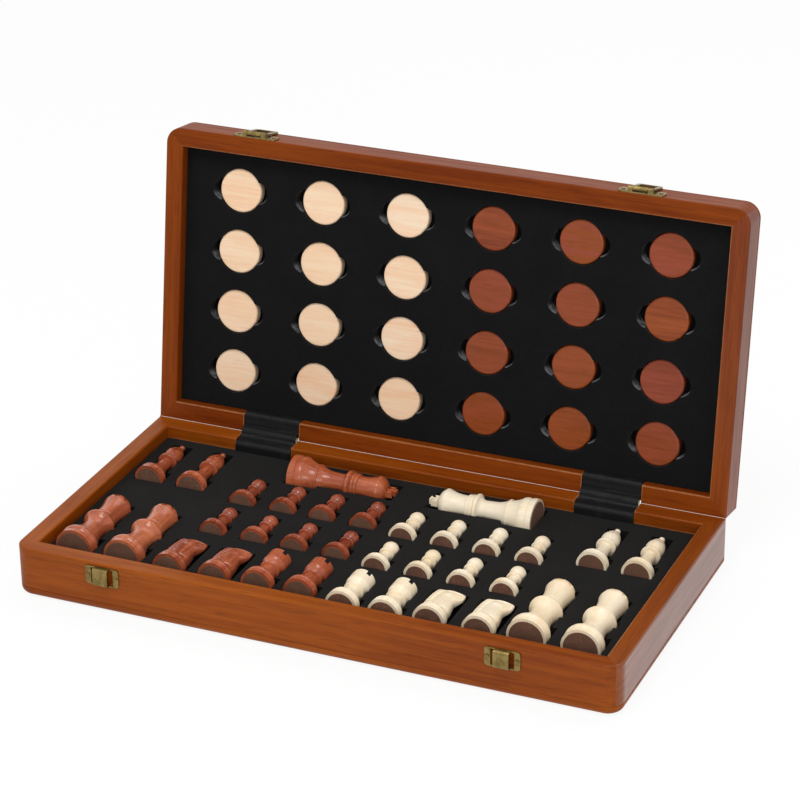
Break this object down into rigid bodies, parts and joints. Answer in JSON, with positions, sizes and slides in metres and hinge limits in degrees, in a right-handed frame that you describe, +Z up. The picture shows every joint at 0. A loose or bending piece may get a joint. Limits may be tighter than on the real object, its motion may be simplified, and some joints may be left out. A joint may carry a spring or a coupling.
{
  "type": "games compendium box",
  "caption": "Hinged wooden box that opens on foam trays of chessmen and draughts, latches shut, and carries half a playing board on each outer face.",
  "frame": {"origin": "middle of the base's underside, on the surface that it stands on", "axes": "+X along the hinge to the right, +Y from the front to the hinge, +Z up"},
  "size_m": [0.38, 0.2459, 0.2237],
  "materials": {
    "rail_wood": "satin lacquer",
    "panel_wood": "satin lacquer",
    "dark_veneer": "satin lacquer",
    "light_veneer": "satin lacquer",
    "flocked_foam": "flocked, matt",
    "strap_leatherette": "soft sheen",
    "hinge_brass": "aged",
    "latch_brass": "antiqued",
    "brass_fixings": "aged",
    "steel_pins": "dull",
    "dark_chessman_wood": "satin",
    "light_chessman_wood": "satin",
    "foot_felt": "matt",
    "dark_draught_wood": "satin",
    "light_draught_wood": "satin"
  },
  "bodies": {
    "base": {"base_front_rail": "rail_wood", "base_back_rail": "rail_wood", "base_left_rail": "rail_wood", "base_right_rail": "rail_wood", "base_board_panel": "panel_wood", "base_dark_squares": "dark_veneer", "base_light_squares": "light_veneer", "base_foam_tray": "flocked_foam", "base_hinge_straps": "strap_leatherette", "hinge_base_screws": "brass_fixings", "hinge_left_base_leaf": "hinge_brass", "hinge_right_base_leaf": "hinge_brass", "hinge_pins": "steel_pins", "latch_left_keeper": "latch_brass", "latch_right_keeper": "latch_brass", "keeper_nails": "brass_fixings"},
    "lid": {"lid_front_rail": "rail_wood", "lid_back_rail": "rail_wood", "lid_left_rail": "rail_wood", "lid_right_rail": "rail_wood", "lid_board_panel": "panel_wood", "lid_dark_squares": "dark_veneer", "lid_light_squares": "light_veneer", "lid_foam_tray": "flocked_foam", "lid_hinge_straps": "strap_leatherette", "hinge_lid_screws": "brass_fixings", "hinge_left_lid_leaf": "hinge_brass", "hinge_right_lid_leaf": "hinge_brass", "latch_left_plate": "latch_brass", "latch_right_plate": "latch_brass", "latch_plate_nails": "brass_fixings", "latch_pins": "steel_pins"},
    "left_bail": {"latch_left_bail": "latch_brass"},
    "right_bail": {"latch_right_bail": "latch_brass"},
    "dark_king": {"dark_king": "dark_chessman_wood", "dark_king_felt": "foot_felt"},
    "dark_queens": {"dark_queens": "dark_chessman_wood", "dark_queens_felt": "foot_felt"},
    "dark_knights": {"dark_knights": "dark_chessman_wood", "dark_knights_felt": "foot_felt"},
    "dark_rooks": {"dark_rooks": "dark_chessman_wood", "dark_rooks_felt": "foot_felt"},
    "dark_bishops": {"dark_bishops": "dark_chessman_wood", "dark_bishops_felt": "foot_felt"},
    "dark_pawns": {"dark_pawns": "dark_chessman_wood", "dark_pawns_felt": "foot_felt"},
    "light_king": {"light_king": "light_chessman_wood", "light_king_felt": "foot_felt"},
    "light_queens": {"light_queens": "light_chessman_wood", "light_queens_felt": "foot_felt"},
    "light_knights": {"light_knights": "light_chessman_wood", "light_knights_felt": "foot_felt"},
    "light_rooks": {"light_rooks": "light_chessman_wood", "light_rooks_felt": "foot_felt"},
    "light_bishops": {"light_bishops": "light_chessman_wood", "light_bishops_felt": "foot_felt"},
    "light_pawns": {"light_pawns": "light_chessman_wood", "light_pawns_felt": "foot_felt"},
    "dark_draughts": {"dark_draughts": "dark_draught_wood"},
    "light_draughts": {"light_draughts": "light_draught_wood"}
  },
  "joints": [
    {"name": "lid_hinge", "type": "hinge", "parent": "base", "child": "lid", "pos_m": [0, 0.09505, 0.03205], "axis": [-1, 0, 0], "range_deg": [-98.5, 81.5]},
    {"name": "left_latch", "type": "hinge", "parent": "lid", "child": "left_bail", "pos_m": [-0.1305, 0.12605, 0.22221], "axis": [1, 0, 0], "range_deg": [0, 180]},
    {"name": "right_latch", "type": "hinge", "parent": "lid", "child": "right_bail", "pos_m": [0.1213, 0.12605, 0.22221], "axis": [1, 0, 0], "range_deg": [0, 180]},
    {"name": "dark_king_lift", "type": "slide", "parent": "base", "child": "dark_king", "axis": [0, 0, 1], "range_m": [0, 0.06]},
    {"name": "dark_queens_lift", "type": "slide", "parent": "base", "child": "dark_queens", "axis": [0, 0, 1], "range_m": [0, 0.06]},
    {"name": "dark_knights_lift", "type": "slide", "parent": "base", "child": "dark_knights", "axis": [0, 0, 1], "range_m": [0, 0.06]},
    {"name": "dark_rooks_lift", "type": "slide", "parent": "base", "child": "dark_rooks", "axis": [0, 0, 1], "range_m": [0, 0.06]},
    {"name": "dark_bishops_lift", "type": "slide", "parent": "base", "child": "dark_bishops", "axis": [0, 0, 1], "range_m": [0, 0.06]},
    {"name": "dark_pawns_lift", "type": "slide", "parent": "base", "child": "dark_pawns", "axis": [0, 0, 1], "range_m": [0, 0.06]},
    {"name": "light_king_lift", "type": "slide", "parent": "base", "child": "light_king", "axis": [0, 0, 1], "range_m": [0, 0.06]},
    {"name": "light_queens_lift", "type": "slide", "parent": "base", "child": "light_queens", "axis": [0, 0, 1], "range_m": [0, 0.06]},
    {"name": "light_knights_lift", "type": "slide", "parent": "base", "child": "light_knights", "axis": [0, 0, 1], "range_m": [0, 0.06]},
    {"name": "light_rooks_lift", "type": "slide", "parent": "base", "child": "light_rooks", "axis": [0, 0, 1], "range_m": [0, 0.06]},
    {"name": "light_bishops_lift", "type": "slide", "parent": "base", "child": "light_bishops", "axis": [0, 0, 1], "range_m": [0, 0.06]},
    {"name": "light_pawns_lift", "type": "slide", "parent": "base", "child": "light_pawns", "axis": [0, 0, 1], "range_m": [0, 0.06]},
    {"name": "dark_draughts_lift", "type": "slide", "parent": "lid", "child": "dark_draughts", "axis": [0, -0.989, 0.1478], "range_m": [0, 0.04]},
    {"name": "light_draughts_lift", "type": "slide", "parent": "lid", "child": "light_draughts", "axis": [0, -0.989, 0.1478], "range_m": [0, 0.04]}
  ]
}
